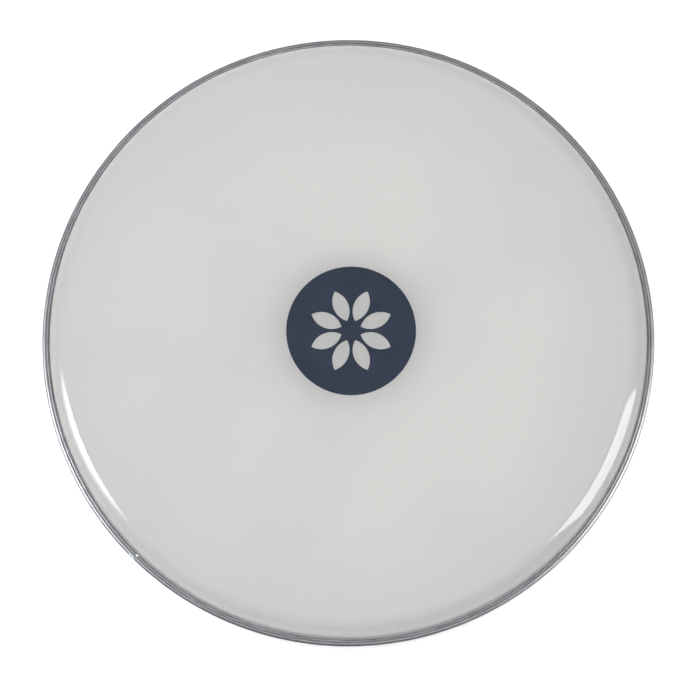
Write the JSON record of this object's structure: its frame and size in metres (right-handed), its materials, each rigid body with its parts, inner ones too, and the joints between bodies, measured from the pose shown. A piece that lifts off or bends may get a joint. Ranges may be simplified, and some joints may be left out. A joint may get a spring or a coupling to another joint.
{
  "type": "drumhead",
  "caption": "Loose synthetic drumhead: a milky film with a formed collar and a round printed badge, potted in an aluminium channel hoop, to be seated on a hand drum's shell.",
  "frame": {"origin": "centre of the hoop's base, on the plane that the head rests on", "axes": "+Z along the head's axis, out of the playing surface; the hoop's butt seam lies between -X and -Y"},
  "size_m": [0.316, 0.316, 0.0224],
  "materials": {
    "film": "gloss",
    "ink": "gloss",
    "hoop_aluminium": "satin",
    "core": "matte",
    "resin": "gloss",
    "key_aluminium": "matte",
    "weld": "matte"
  },
  "bodies": {
    "root": {"membrane": "film", "badge_print": "ink", "hoop_channel": "hoop_aluminium", "core_ring": "core", "potting_resin": "resin", "joint_key": "key_aluminium", "seam_weld": "weld"}
  },
  "joints": []
}
